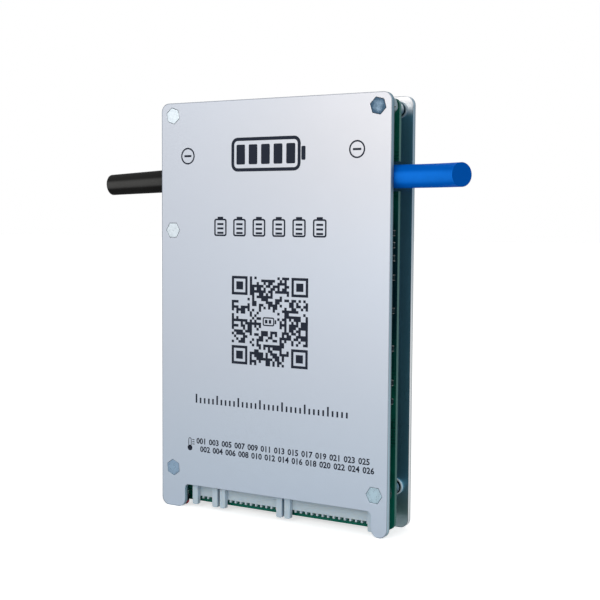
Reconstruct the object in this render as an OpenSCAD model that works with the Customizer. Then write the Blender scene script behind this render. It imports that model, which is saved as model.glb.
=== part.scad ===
// Battery management board: one circuit board held between two aluminium plates by five
// screwed pillars, with three plug headers along its lower edge, a status lamp beside them,
// and one heavy insulated lead leaving each side.
//
// X runs across the board, Y from the front plate (-Y) to the back plate (+Y), and Z up.
// The origin is at the middle of the footprint, on the plane of the plates' lower edges.
// All sizes are in millimetres.

/* [Plates] */
// Width of both plates and of the board
plate_w = 102; // [94:1:120]
// Height of both plates
plate_h = 162; // [155:1:200]
// Sheet thickness of both plates
plate_t = 2; // [1.6:0.1:3]
// Radius of the plates' outer corners
plate_r = 3.4; // [1:0.2:5]
// Clear gap between the front plate and the board
front_gap = 4.2; // [4:0.1:7]
// Clear gap between the board and the back plate
rear_gap = 10.2; // [9.8:0.1:14]

/* [Front plate notch] */
// How much wider the leg left of the notch is than the right one, to cover the status lamp
leg_extra_w = 4.55; // [2:0.05:6]
// Height of the notch over the headers
notch_h = 9.5; // [9:0.1:11]
// Fillet in the notch's two upper corners
notch_r = 1.8; // [0.5:0.1:2.5]
// Rounding of the ends of the two legs
leg_tip_r = 3.3; // [1:0.1:3.5]

/* [Circuit board] */
// Thickness of the board
board_t = 1.6; // [1.2:0.1:2.4]
// How far the board stops short of the plates' upper and lower edges
board_inset = 1.8; // [1:0.1:3]
// Corner radius of the board
board_r = 3; // [1:0.2:4]
// How far the insulation of each lead reaches in from the board's side edge
lead_entry = 7; // [6:0.5:9]
// Clearance between a lead and its notch in the board
lead_notch_gap = 0.4; // [0.2:0.1:1]

/* [Pillars and screws] */
// Distance from the side edges to the pillar axes
pillar_inset = 5.5; // [5:0.1:7]
// Distance from the top edge to the upper pillars
pillar_drop = 5; // [4.5:0.1:8]
// Distance from the top edge to the middle pillar
middle_drop = 50.3; // [40:0.1:60]
// Height of the lower pillars over the bottom edge
pillar_rise = 15.6; // [15.4:0.1:20]
// Hexagon head of a front pillar, across its flats
hex_af = 5.5; // [5.5:0.1:7]
// Thickness of the hexagon head
hex_t = 1.4; // [1:0.1:1.5]
// Gap all round the head in its hexagonal seat
hex_gap = 0.17; // [0.05:0.01:0.3]
// Diameter of a front pillar's barrel
barrel_d = 5.2; // [4.6:0.1:5.4]
// Body diameter of a rear spacer
spacer_d = 5.2; // [4.8:0.1:5.6]
// Diameter of the flange that a rear spacer stands on
flange_d = 6.3; // [6:0.1:7]
// Thickness of that flange
flange_t = 0.9; // [0.6:0.1:1.2]
// Width and depth of the relief groove above the flange
relief = 0.5; // [0.3:0.1:0.6]
// Thread diameter of the screws
screw_d = 3; // [2.5:0.1:3.2]
// Length of the screws, head included
screw_l = 16; // [15:0.1:17]
// Head diameter of the countersunk screws
screw_head_d = 5.6; // [5:0.1:6]
// Radial clearance round a screw
screw_gap = 0.1; // [0.05:0.01:0.2]

/* [Plug headers] */
// Pin spacing
pitch = 2.4; // [2.3:0.01:2.5]
// Pins in the temperature sensor header
temperature_ways = 4; // [2:1:5]
// Pins in the header for the upper half of the cells
high_ways = 11; // [8:1:12]
// Pins in the header for the lower half of the cells
low_ways = 15; // [10:1:16]
// Distance from a header's end to its first pin
end_margin = 2.45; // [2.4:0.05:3]
// Distance from the notch's left side to the first header
header_start = 2.1; // [1.5:0.1:3]
// Gap between neighbouring headers
header_gap = 1.2; // [0.3:0.1:1.5]
// Width of the guide ear at each end of a header
ear_w = 2.45; // [2.2:0.05:2.8]
// Gap between the guide ears and the front plate
ear_gap = 0.4; // [0.2:0.1:0.8]
// How far a header's body stands off the board
header_body_t = 1.8; // [1.7:0.1:3]
// Height of the mouth of the headers over the plates' lower edge
mouth_z = 1.1; // [0.6:0.1:2]
// Height of the headers' inner floor over the plates' lower edge
floor_z = 4.35; // [4.2:0.05:5.5]
// Length of a header's body above its inner floor
header_body_h = 6.4; // [5:0.1:7]
// Width of the slot round each pin
comb_slot_w = 1.65; // [1.2:0.05:1.8]
// Side of a square pin
pin_side = 0.64; // [0.5:0.01:0.7]
// How far the teeth and the pins between them reach down out of the inner floor
tooth_h = 1; // [0.8:0.1:1.8]

/* [Status lamp] */
// Diameter of the lamp's lens
lamp_d = 3; // [2.6:0.1:3.1]
// Height of the lamp's tip over the plates' lower edge
lamp_tip_z = 0.1; // [0.1:0.1:1]
// Length of the lens, dome included
lamp_l = 4.2; // [3.5:0.1:5]

/* [Leads] */
// Outer diameter of each lead
lead_d = 8.5; // [8:0.1:9]
// Diameter of the tinned copper core
core_d = 5; // [4.5:0.1:5.4]
// Distance from the top edge to the axis of the leads
lead_drop = 30; // [28:0.5:34]
// Length of bare core that is soldered down
core_l = 9.5; // [8:0.1:10]
// Length of the left lead beyond the plates
lead_p_out = 31; // [20:1:60]
// Angle by which the left lead slopes down on its way out
lead_p_slope = 2.5; // [0:0.5:4]
// How much thicker the left lead is where it leaves the board
lead_p_swell = 0.9; // [0:0.1:1]
// Angle through which the right lead bends forwards beyond the plates
lead_b_bend = 29.5; // [15:0.5:40]
// Bend radius of the right lead
lead_b_radius = 55; // [36:1:80]

/* [Power stage] */
// Thickness of the copper bars
bar_t = 2; // [1.8:0.1:2.2]
// Width of the copper bars
bar_w = 10.5; // [9:0.1:11]
// Transistors on each copper bar
transistors = 6; // [4:1:6]
// Spacing of the transistors
transistor_pitch = 11.4; // [11:0.1:12]
// Height of a transistor over the board
transistor_h = 4.5; // [4:0.1:4.8]
// Thickness of the thermal pads
pad_t = 0.5; // [0.3:0.1:0.8]

/* [Small parts] */
// Balancing channels, one for each cell
cells = 24; // [20:2:24]
// Height of the balancing resistors' lower row over the plates' lower edge
resistor_z = 27; // [26:0.5:30]

/* [Hidden] */

$fn = 48;
eps = 0.01;

// Where each layer lies along Y.
stack_t = 2 * plate_t + front_gap + board_t + rear_gap;
front_y = -stack_t / 2;
board_front_y = front_y + plate_t + front_gap;
board_back_y = board_front_y + board_t;
back_plate_y = board_back_y + rear_gap;
back_y = stack_t / 2;

// The headers fill the notch between the front plate's two legs.
function header_w(ways) = (ways - 1) * pitch + 2 * end_margin;
notch_w = header_start + header_w(temperature_ways) + header_w(high_ways) + header_w(low_ways)
    + 2 * header_gap;
leg_right_w = (plate_w - notch_w - leg_extra_w) / 2;
leg_left_w = leg_right_w + leg_extra_w;
edge_x = plate_w / 2;
notch_x0 = -edge_x + leg_left_w;
notch_x1 = edge_x - leg_right_w;
temperature_x = notch_x0 + header_start;
high_x = temperature_x + header_w(temperature_ways) + header_gap;
low_x = high_x + header_w(high_ways) + header_gap;
header_top_z = floor_z + header_body_h;
ear_t = front_gap - ear_gap;
foot_l = 1.8;
pin_inset = 1.1;
pin_y = board_front_y - pin_inset;

// The board and the pillars.
board_top_z = plate_h - board_inset;
pillar_x = edge_x - pillar_inset;
pillars = [[-pillar_x, plate_h - pillar_drop], [pillar_x, plate_h - pillar_drop],
           [-pillar_x, plate_h - middle_drop],
           [-pillar_x, pillar_rise], [pillar_x, pillar_rise]];
// Each hexagon head sits as it was pressed in, turned by this many degrees.
hex_turns = [20, 14, 0, 24, 3];
pillar_bore_d = screw_d + 2 * screw_gap;
screw_hole_d = screw_d + 4 * screw_gap;

// The status lamp stands between the plate and the board, behind the left leg's inner edge.
lamp_flange_d = lamp_d + 0.7;
lamp_flange_t = 0.9;
lamp_x = notch_x0 - lamp_d / 2 - 1.2;
lamp_y = board_front_y - lamp_flange_d / 2 - 0.15;
lamp_base_z = lamp_tip_z + lamp_l;
leg_side = 0.5;
leg_spread = 1.27;

// The leads run in the board's own plane, each in a notch cut for it.
lead_z = plate_h - lead_drop;
lead_y = (board_front_y + board_back_y) / 2;
jacket_x = edge_x - lead_entry;
core_x0 = jacket_x - core_l;
core_gap = 0.2;
pool_l = core_l - 1;
lead_sag = lead_entry * tan(lead_p_slope);
lead_notch_w = lead_d + lead_p_swell + 2 * (lead_notch_gap + lead_sag);

// The power stage behind the board, inwards of the pillars.
power_x = pillar_x - flange_d / 2 - 1.35;
transistor_l = 15;
transistor_w = 10.2;
tab_l = 1.3;
case_l = 9.2;
bar_x1 = power_x - transistor_l - 1.5;
bar_x0 = bar_x1 - bar_w;
arm_z0 = lead_z - lead_d / 2 - 2;
arm_z1 = lead_z + lead_d / 2 + 2;
arm_x1 = jacket_x - 0.6;
transistor_z = arm_z0 - 1 - transistor_w / 2;
transistor_last_z = transistor_z - (transistors - 1) * transistor_pitch;
bar_bottom_z = transistor_last_z - transistor_w / 2;
heat_block_t = rear_gap - transistor_h - 2 * pad_t;
inner_pad_y = board_back_y + transistor_h;
heat_block_y = inner_pad_y + pad_t;
outer_pad_y = heat_block_y + heat_block_t;

// The row of the small supply, behind the board and under the copper bars: cans, a choke and
// surge diodes.
choke_d = 11;
choke_h = 6;
choke_flange = 1.2;
choke_x = 6;
can_d = 8;
can_h = 7.4;
can_base_w = 8.3;
can_base_h = 1.2;
can_pitch = 11;
diode_w = 5.8;
diode_l = 6.6;
diode_h = 2.3;
diode_foot_w = 3;
diode_foot_l = 8;
diode_pitch = 10;
supply_drop = 12;
supply_space = 8.5;
supply_z = bar_bottom_z - supply_drop - choke_d / 2;
can_x = choke_x - choke_d / 2 - supply_space - can_d / 2;
diode_x = choke_x + choke_d / 2 + supply_space;

// The chips in front of the board: the control row, and the gate drivers over it.
control_drop = 58;
control_x = -16;
monitor_x = [12, 34];
crystal_x = -32;
driver_drop = 36;
driver_x = 9;
driver_w = 4;
driver_l = 5;
driver_h = 1.5;

// The balancing channels: resistors in two rows, and their switches in two rows over them.
channel_pitch = 6;
resistor_w = 3.1;
resistor_l = 6.3;
resistor_h = 0.65;
resistor_rows = 9;
switch_rise = 18;
switch_rows = 5;
switch_w = 2.9;
switch_l = 1.4;
switch_h = 1;
switch_leg_w = 0.4;
switch_leg_x = 0.95;

// Two-ended chips along the right edge, at these distances below the leads.
edge_chip_w = 1.25;
edge_chip_l = 2.2;
edge_chip_h = 0.8;
edge_chip_inset = 1.6;
edge_chip_drops = [20.5, 24.85, 29.6, 36.65, 48.8, 62.6, 75.2, 82.1];

// ---------------------------------------------------------------- helpers

// A flat sheet of thickness t whose front face is at y; its outline is drawn in X and Z.
module sheet(y, t) {
    translate([0, y + t, 0]) rotate([90, 0, 0]) linear_extrude(height = t) children();
}

// A round bar along Y.
module rod(x, z, y0, y1, d) {
    translate([x, y0, z]) rotate([-90, 0, 0]) cylinder(d = d, h = y1 - y0);
}

// A box from one corner to the other.
module span(a, b) {
    translate(a) cube(b - a);
}

// On the board's front face: local z points away from the board, towards -Y.
module on_front(x, z) {
    translate([x, board_front_y, z]) rotate([90, 0, 0]) children();
}

// On the board's back face: local z points away from the board, towards +Y.
module on_back(x, z) {
    translate([x, board_back_y, z]) rotate([90, 0, 180]) children();
}

// A block that stands on local z = 0, centred in x and y.
module block(w, l, h) {
    translate([-w / 2, -l / 2, 0]) cube([w, l, h]);
}

// A rectangle from [x0, z0] to [x1, z1] with all four corners rounded.
module rounded(x0, z0, x1, z1, r) {
    translate([x0 + r, z0]) square([x1 - x0 - 2 * r, z1 - z0]);
    translate([x0, z0 + r]) square([x1 - x0, z1 - z0 - 2 * r]);
    for (x = [x0 + r, x1 - r], z = [z0 + r, z1 - r]) translate([x, z]) circle(r = r);
}

// The filled corner that makes a fillet: its point is at [x, z], and it opens towards dx, dz.
module corner_fillet(x, z, dx, dz, r) {
    difference() {
        translate([x + min(dx * r, 0), z + min(dz * r, 0)]) square([r, r]);
        translate([x + dx * r, z + dz * r]) circle(r = r);
    }
}

// ---------------------------------------------------------------- plates and board

// One leg of the front plate, with a rounded end.
module leg(x0, x1) {
    r = min(leg_tip_r, (x1 - x0) / 2 - 0.05);
    translate([x0 + r, 0]) square([x1 - x0 - 2 * r, notch_h]);
    translate([x0, r]) square([x1 - x0, notch_h - r + eps]);
    for (x = [x0 + r, x1 - r]) translate([x, r]) circle(r = r);
}

module front_outline() {
    translate([-edge_x, notch_h]) square([plate_w, plate_h - notch_h - plate_r]);
    translate([-edge_x + plate_r, notch_h]) square([plate_w - 2 * plate_r, plate_h - notch_h]);
    for (side = [-1, 1])
        translate([side * (edge_x - plate_r), plate_h - plate_r]) circle(r = plate_r);
    leg(-edge_x, notch_x0);
    leg(notch_x1, edge_x);
    corner_fillet(notch_x0, notch_h, 1, -1, notch_r);
    corner_fillet(notch_x1, notch_h, -1, -1, notch_r);
}

// The printed front plate, notched over the headers, with a hexagonal seat for each pillar.
module front_plate() {
    color([0.78, 0.82, 0.86]) difference() {
        sheet(front_y, plate_t) front_outline();
        for (i = [0:len(pillars) - 1]) {
            translate([pillars[i][0], front_y - eps, pillars[i][1]])
                rotate([-90, hex_turns[i], 0])
                cylinder(d = (hex_af + 2 * hex_gap) / cos(30), h = hex_t + eps, $fn = 6);
            rod(pillars[i][0], pillars[i][1], front_y, front_y + plate_t + eps,
                barrel_d + 2 * hex_gap);
        }
    }
}

// The plain back plate that carries the heat away, countersunk for the five screws.
module back_plate() {
    color([0.72, 0.76, 0.8]) difference() {
        sheet(back_plate_y, plate_t) rounded(-edge_x, 0, edge_x, plate_h, plate_r);
        for (p = pillars) {
            rod(p[0], p[1], back_plate_y - eps, back_y + eps, screw_hole_d);
            screw_cone(p, screw_gap);
        }
    }
}

// The outline of a countersunk head, flush with the back plate's outer face.
module screw_cone(p, gap) {
    head_h = (screw_head_d - screw_d) / 2;
    translate([p[0], back_y - head_h - gap, p[1]]) rotate([-90, 0, 0])
        cylinder(d1 = screw_d, d2 = screw_head_d + 2 * gap, h = head_h + gap + (gap > 0 ? eps : 0));
}

module circuit_board() {
    slot_w = core_d + 2 * core_gap;
    color([0.02, 0.3, 0.2]) difference() {
        sheet(board_front_y, board_t)
            rounded(-edge_x, board_inset, edge_x, board_top_z, board_r);
        for (p = pillars)
            rod(p[0], p[1], board_front_y - eps, board_back_y + eps, screw_hole_d);
        for (side = [-1, 1]) mirror([side > 0 ? 0 : 1, 0, 0]) {
            span([jacket_x - lead_notch_gap, board_front_y - 1, lead_z - lead_notch_w / 2],
                 [edge_x + 1, board_back_y + 1, lead_z + lead_notch_w / 2]);
            span([core_x0 - core_gap, board_front_y - 1, lead_z - slot_w / 2],
                 [jacket_x, board_back_y + 1, lead_z + slot_w / 2]);
        }
    }
}

// ---------------------------------------------------------------- pillars and screws

// Blind threaded pillars, pressed into the front plate until their hexagon heads are flush.
module front_pillars() {
    color([0.62, 0.68, 0.72])
    for (i = [0:len(pillars) - 1]) {
        x = pillars[i][0];
        z = pillars[i][1];
        difference() {
            union() {
                translate([x, front_y, z]) rotate([-90, hex_turns[i], 0])
                    cylinder(d = hex_af / cos(30), h = hex_t, $fn = 6);
                rod(x, z, front_y + hex_t - eps, board_front_y, barrel_d);
            }
            rod(x, z, front_y + hex_t + 0.6, board_front_y + eps, pillar_bore_d);
        }
    }
}

// Turned spacers between the board and the back plate, each with a flange and a relief groove.
module rear_spacers() {
    groove_d = spacer_d - 2 * relief;
    color([0.75, 0.77, 0.78])
    for (p = pillars) {
        difference() {
            union() {
                rod(p[0], p[1], board_back_y, back_plate_y - flange_t - 2 * relief, spacer_d);
                rod(p[0], p[1], back_plate_y - flange_t - 2 * relief - eps,
                    back_plate_y - flange_t + eps, groove_d);
                rod(p[0], p[1], back_plate_y - flange_t, back_plate_y, flange_d);
            }
            rod(p[0], p[1], board_back_y - eps, back_plate_y + eps, screw_hole_d);
        }
    }
}

// Countersunk cross-head screws, from the back plate through to the front pillars.
module cover_screws() {
    recess_l = screw_head_d * 0.55;
    recess_w = screw_d * 0.28;
    recess_depth = screw_d * 0.4;
    color([0.55, 0.57, 0.6])
    for (p = pillars) {
        difference() {
            union() {
                screw_cone(p, 0);
                rod(p[0], p[1], back_y - screw_l, back_y - eps, screw_d);
            }
            for (turn = [45, 135])
                translate([p[0], back_y - recess_depth / 2 + eps, p[1]]) rotate([0, turn, 0])
                    cube([recess_l, recess_depth + 2 * eps, recess_w], center = true);
        }
    }
}

// ---------------------------------------------------------------- plug headers

// A guide ear, with its two lower corners rounded.
module ear(x) {
    r = 0.6;
    sheet(board_front_y - ear_t, ear_t) {
        translate([x, mouth_z + r]) square([ear_w, header_top_z - mouth_z - r]);
        translate([x + r, mouth_z]) square([ear_w - 2 * r, r + eps]);
        for (corner_x = [x + r, x + ear_w - r])
            translate([corner_x, mouth_z + r]) circle(r = r);
    }
}

// A header's moulding: a body with a hole for each pin, a guide ear at each end that is
// hollow behind its front wall, and a comb of teeth with the pins in its slots.
module header(x, ways) {
    w = header_w(ways);
    hole = pin_side + 0.02;
    wall = 0.8;
    front = board_front_y - header_body_t;
    color([0.9, 0.91, 0.88]) difference() {
        union() {
            span([x, front, floor_z], [x + w, board_front_y, header_top_z]);
            difference() {
                union() {
                    ear(x);
                    ear(x + w - ear_w);
                }
                span([x + wall, front, mouth_z - 1], [x + w - wall, board_front_y + 1, floor_z]);
            }
            for (i = [0:ways - 2])
                span([x + end_margin + i * pitch + comb_slot_w / 2, front + 0.2,
                      floor_z - tooth_h],
                     [x + end_margin + (i + 1) * pitch - comb_slot_w / 2, board_front_y - 0.3,
                      floor_z + eps]);
        }
        for (i = [0:ways - 1])
            translate([x + end_margin + i * pitch - hole / 2, pin_y - hole / 2, mouth_z])
                cube([hole, hole, header_top_z]);
    }
}

// The pins of a header: out of its floor, up through its body, and down to the board.
module header_pins(x, ways) {
    tip_z = floor_z - tooth_h;
    bend_z = header_top_z + 0.3;
    color([0.8, 0.8, 0.78])
    for (i = [0:ways - 1]) {
        px = x + end_margin + i * pitch - pin_side / 2;
        span([px, pin_y - pin_side / 2, tip_z], [px + pin_side, pin_y + pin_side / 2, bend_z]);
        span([px, pin_y - pin_side / 2, bend_z - eps],
             [px + pin_side, board_front_y, bend_z + pin_side / 2]);
        span([px, board_front_y - pin_side / 2, bend_z - eps],
             [px + pin_side, board_front_y, bend_z + foot_l]);
    }
}

// ---------------------------------------------------------------- status lamp

// The lamp's lens: a dome that points down, a barrel and a flange.
module status_lamp() {
    color([0.75, 0.05, 0.12]) translate([lamp_x, lamp_y, 0]) {
        translate([0, 0, lamp_tip_z + lamp_d / 2]) sphere(d = lamp_d);
        translate([0, 0, lamp_tip_z + lamp_d / 2])
            cylinder(d = lamp_d, h = lamp_l - lamp_d / 2);
        translate([0, 0, lamp_base_z - lamp_flange_t]) cylinder(d = lamp_flange_d, h = lamp_flange_t);
    }
}

// Its two legs, bent back on to the board.
module lamp_legs() {
    bend_z = lamp_base_z + 1.6;
    color([0.8, 0.8, 0.78])
    for (side = [-1, 1]) {
        x = lamp_x + side * leg_spread - leg_side / 2;
        span([x, lamp_y - leg_side / 2, lamp_base_z], [x + leg_side, lamp_y + leg_side / 2, bend_z]);
        span([x, lamp_y - leg_side / 2, bend_z - leg_side], [x + leg_side, board_front_y, bend_z]);
    }
}

// ---------------------------------------------------------------- leads

// The left lead runs straight out of the board, sloping down and tapering a little. Its inner
// end is cut upright, against the end of the soldered core.
module lead_p() {
    l = lead_entry + lead_p_out;
    cut = 2;
    color([0.1, 0.1, 0.1]) translate([-jacket_x, lead_y, lead_z]) difference() {
        rotate([0, -90 - lead_p_slope, 0]) translate([0, 0, -cut])
            cylinder(d1 = lead_d + lead_p_swell, d2 = lead_d, h = l + cut);
        span([0, -lead_d, -lead_d], [2 * cut, lead_d, lead_d]);
    }
}

// The right lead runs straight to the plates' edge, then bends forwards to its cut end.
module lead_b() {
    color([0.02, 0.33, 0.78]) translate([jacket_x, lead_y, lead_z]) {
        rotate([0, 90, 0]) cylinder(d = lead_d, h = lead_entry);
        translate([lead_entry, -lead_b_radius, 0]) rotate([0, 0, 90]) mirror([0, 1, 0])
            rotate_extrude(angle = lead_b_bend) translate([lead_b_radius, 0]) circle(d = lead_d);
    }
}

// The bare end of a lead's core in its slot, drowned in solder in front of the board and on
// the copper bar behind it.
module soldered_core(side) {
    half = core_d / 2;
    bar_back_y = board_back_y + bar_t;
    color([0.78, 0.78, 0.76]) mirror([side > 0 ? 0 : 1, 0, 0]) union() {
        translate([core_x0, lead_y, lead_z]) rotate([0, 90, 0]) cylinder(d = core_d, h = core_l);
        translate([core_x0, 0, lead_z]) rotate([90, 0, 90]) linear_extrude(height = pool_l)
            polygon([[board_front_y, half + 1.4], [lead_y - half, half - 0.6],
                     [lead_y - half, 0.6 - half], [board_front_y, -half - 1.4],
                     [board_front_y, -half], [bar_back_y, -half], [bar_back_y, -half - 1.2],
                     [bar_back_y + 0.8, -half], [bar_back_y + 0.8, half],
                     [bar_back_y, half + 1.2], [bar_back_y, half], [board_front_y, half]]);
    }
}

// ---------------------------------------------------------------- power stage

// The copper bar that joins a lead to its column of transistors: an upright strip, and an arm
// that is slotted for the lead's core.
module copper_bar(side) {
    slot_w = core_d + 2 * core_gap;
    color([0.83, 0.62, 0.42]) mirror([side > 0 ? 0 : 1, 0, 0]) difference() {
        sheet(board_back_y, bar_t) {
            rounded(bar_x0, bar_bottom_z, bar_x1, arm_z1, 1);
            translate([bar_x0 + bar_w / 2, arm_z0]) square([arm_x1 - bar_x0 - bar_w / 2,
                                                            arm_z1 - arm_z0]);
        }
        span([core_x0 - core_gap, board_back_y - 1, lead_z - slot_w / 2],
             [arm_x1 + 1, board_back_y + bar_t + 1, lead_z + slot_w / 2]);
    }
}

// A power transistor lying on the board: tab outwards, three legs towards its copper bar.
module transistor(side, i) {
    z = transistor_z - (i - 1) * transistor_pitch;
    case_x = transistor_l - tab_l - case_l;
    leg_w = 0.9;
    leg_t = 0.5;
    leg_pitch = 2.54;
    color([0.12, 0.12, 0.13])
    translate([side * (power_x - transistor_l), board_back_y, z]) mirror([side > 0 ? 0 : 1, 0, 0])
    union() {
        span([case_x, 0.1, -transistor_w / 2], [case_x + case_l, transistor_h, transistor_w / 2]);
        span([case_x + 1, 0, -transistor_w / 2 + 0.4],
             [transistor_l, 1.27, transistor_w / 2 - 0.4]);
        for (k = [-1, 0, 1]) {
            lz = k * leg_pitch - leg_w / 2;
            span([case_x - 1.8, 2.2, lz], [case_x + 0.2, 2.2 + leg_t, lz + leg_w]);
            span([case_x - 1.8 - leg_t, 0, lz], [case_x - 1.8, 2.2 + leg_t, lz + leg_w]);
            span([0, 0, lz], [case_x - 1.8, leg_t, lz + leg_w]);
        }
    }
}

// The strip over one column of transistor cases, between two depths.
module over_cases(side, y0, y1, extra) {
    x0 = power_x - tab_l - case_l + 0.4 - extra;
    x1 = power_x - tab_l - 0.4 + extra;
    span([side > 0 ? x0 : -x1, y0, transistor_last_z - transistor_w / 2 - extra],
         [side > 0 ? x1 : -x0, y1, transistor_z + transistor_w / 2 + extra]);
}

module inner_pad(side) {
    color([0.55, 0.6, 0.68]) over_cases(side, inner_pad_y, heat_block_y, 0);
}

// The aluminium block that fills the height between the cases and the back plate.
module heat_block(side) {
    color([0.7, 0.72, 0.74]) over_cases(side, heat_block_y, outer_pad_y, 0.3);
}

module outer_pad(side) {
    color([0.55, 0.6, 0.68]) over_cases(side, outer_pad_y, back_plate_y, 0);
}

// A current-sensing resistor: an arched alloy strip between two feet.
module shunt(i) {
    shunt_l = 12;
    shunt_w = 5;
    shunt_t = 0.8;
    foot = 2.5;
    rise = 0.7;
    shunt_pitch = 8.5;
    color([0.5, 0.42, 0.36])
    translate([0, board_back_y, lead_z - 12 - (i - 1) * shunt_pitch]) union() {
        for (side = [-1, 1])
            span([side > 0 ? shunt_l / 2 - foot : -shunt_l / 2, 0, -shunt_w / 2],
                 [side > 0 ? shunt_l / 2 : foot - shunt_l / 2, rise + shunt_t, shunt_w / 2]);
        span([-shunt_l / 2 + foot - eps, rise, -shunt_w / 2 + 0.4],
             [shunt_l / 2 - foot + eps, rise + shunt_t, shunt_w / 2 - 0.4]);
    }
}

// ---------------------------------------------------------------- small parts

// A flat chip package with legs on two or four sides.
module chip(w, l, h, legs, leg_pitch, four) {
    leg_w = leg_pitch * 0.45;
    leg_l = 1;
    leg_t = 0.15;
    color([0.13, 0.13, 0.14]) {
        translate([0, 0, 0.08]) block(w, l, h - 0.08);
        for (turn = four ? [0, 90, 180, 270] : [0, 180], k = [0:legs - 1])
            rotate([0, 0, turn])
            translate([w / 2 - 0.1, (k - (legs - 1) / 2) * leg_pitch - leg_w / 2, 0])
                cube([leg_l + 0.1, leg_w, leg_t]);
    }
}

module microcontroller() {
    on_front(control_x, lead_z - control_drop) chip(10, 10, 1.5, 12, 0.7, true);
}

module monitor_chip(i) {
    on_front(monitor_x[i - 1], lead_z - control_drop) chip(7, 7, 1.2, 8, 0.7, true);
}

// The clock crystal's metal can, rounded at both ends.
module crystal() {
    can_w = 4.4;
    can_l = 7;
    color([0.75, 0.76, 0.76]) on_front(crystal_x, lead_z - control_drop) {
        block(can_w, can_l, 2.6);
        for (end = [-1, 1]) translate([0, end * can_l / 2, 0]) cylinder(d = can_w, h = 2.6);
    }
}

module gate_drivers() {
    for (side = [-1, 1]) on_front(side * driver_x, lead_z - driver_drop)
        chip(driver_w, driver_l, driver_h, 4, driver_l / 4, false);
}

// The radio module: a small board with a metal shield and bare board round its aerial.
radio_w = 13;
radio_l = 19;
radio_t = 0.8;

module radio_board() {
    color([0.05, 0.2, 0.35]) on_front(0, lead_z + 10) block(radio_w, radio_l, radio_t);
}

module radio_shield() {
    shield_w = radio_w - 2;
    shield_l = radio_l - 7;
    wall = 0.25;
    shield_h = 2;
    color([0.78, 0.79, 0.78]) on_front(0, lead_z + 10) translate([0, -2.5, radio_t])
        difference() {
            block(shield_w, shield_l, shield_h);
            translate([0, 0, -eps]) block(shield_w - 2 * wall, shield_l - 2 * wall, shield_h - wall);
        }
}

// Three can capacitors on square plastic bases.
module bulk_capacitors() {
    color([0.75, 0.76, 0.78])
    for (i = [0:2]) on_back(can_x - i * can_pitch, supply_z) union() {
        block(can_base_w, can_base_w, can_base_h);
        cylinder(d = can_d, h = can_h);
    }
}

// The choke of the small supply: a flanged ferrite core with its winding between the flanges.
module choke_core() {
    color([0.2, 0.2, 0.21]) on_back(choke_x, supply_z) union() {
        cylinder(d = choke_d, h = choke_flange);
        cylinder(d = choke_d / 2, h = choke_h);
        translate([0, 0, choke_h - choke_flange]) cylinder(d = choke_d, h = choke_flange);
    }
}

module choke_coil() {
    inner_d = choke_d / 2 + 0.04;
    color([0.72, 0.4, 0.2]) on_back(choke_x, supply_z) translate([0, 0, choke_flange])
        difference() {
            cylinder(d = choke_d - 1.2, h = choke_h - 2 * choke_flange);
            translate([0, 0, -eps]) cylinder(d = inner_d, h = choke_h);
        }
}

// Surge diodes in moulded cases, with a folded foot at each end.
module surge_diodes() {
    color([0.14, 0.14, 0.15])
    for (i = [0:2]) on_back(diode_x + i * diode_pitch, supply_z) union() {
        translate([0, 0, 0.1]) block(diode_w, diode_l, diode_h);
        block(diode_foot_w, diode_foot_l, 0.5);
    }
}

// Balancing resistors and their switches, in two rows of half the cells each.
function channel_x(i) = ((i % (cells / 2)) - (cells / 2 - 1) / 2) * channel_pitch;
function channel_row(i) = floor(i / (cells / 2));

module balance_resistors() {
    color([0.16, 0.16, 0.17])
    for (i = [0:cells - 1])
        on_front(channel_x(i), resistor_z + channel_row(i) * resistor_rows)
            block(resistor_w, resistor_l, resistor_h);
}

module balance_switches() {
    color([0.15, 0.15, 0.16])
    for (i = [0:cells - 1])
        on_front(channel_x(i), resistor_z + switch_rise + channel_row(i) * switch_rows) union() {
            translate([0, 0, 0.05]) block(switch_w, switch_l, switch_h);
            for (x = [-switch_leg_x, switch_leg_x])
                translate([x, -0.5, 0]) block(switch_leg_w, switch_l + 0.1, 0.15);
            translate([0, 0.5, 0]) block(switch_leg_w, switch_l + 0.1, 0.15);
        }
}

// Small two-ended chips along the board's right edge, down the length of the gap.
module edge_chips() {
    color([0.6, 0.5, 0.4])
    for (drop = edge_chip_drops)
        on_front(edge_x - edge_chip_inset, lead_z - drop)
            block(edge_chip_w, edge_chip_l, edge_chip_h);
}

// ---------------------------------------------------------------- the nodes

front_plate();
back_plate();
circuit_board();
front_pillars();
rear_spacers();
cover_screws();
header(temperature_x, temperature_ways);  // temperature_header
header_pins(temperature_x, temperature_ways);  // temperature_pins
header(high_x, high_ways);  // high_cell_header
header_pins(high_x, high_ways);  // high_cell_pins
header(low_x, low_ways);  // low_cell_header
header_pins(low_x, low_ways);  // low_cell_pins
status_lamp();
lamp_legs();
lead_p();
lead_b();
soldered_core(-1);  // soldered_core_p
soldered_core(1);  // soldered_core_b
copper_bar(-1);  // copper_bar_p
copper_bar(1);  // copper_bar_b
for (i = [1:transistors]) {
    transistor(-1, i);
    transistor(1, i);
}
heat_block(-1);  // heat_block_p
heat_block(1);  // heat_block_b
inner_pad(-1);  // inner_pad_p
inner_pad(1);  // inner_pad_b
outer_pad(-1);  // outer_pad_p
outer_pad(1);  // outer_pad_b
for (i = [1:4]) shunt(i);
microcontroller();
monitor_chip(1);  // monitor_chip_1
monitor_chip(2);  // monitor_chip_2
crystal();
gate_drivers();
radio_board();
radio_shield();
bulk_capacitors();
choke_coil();
choke_core();
surge_diodes();
balance_resistors();
balance_switches();
edge_chips();
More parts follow.
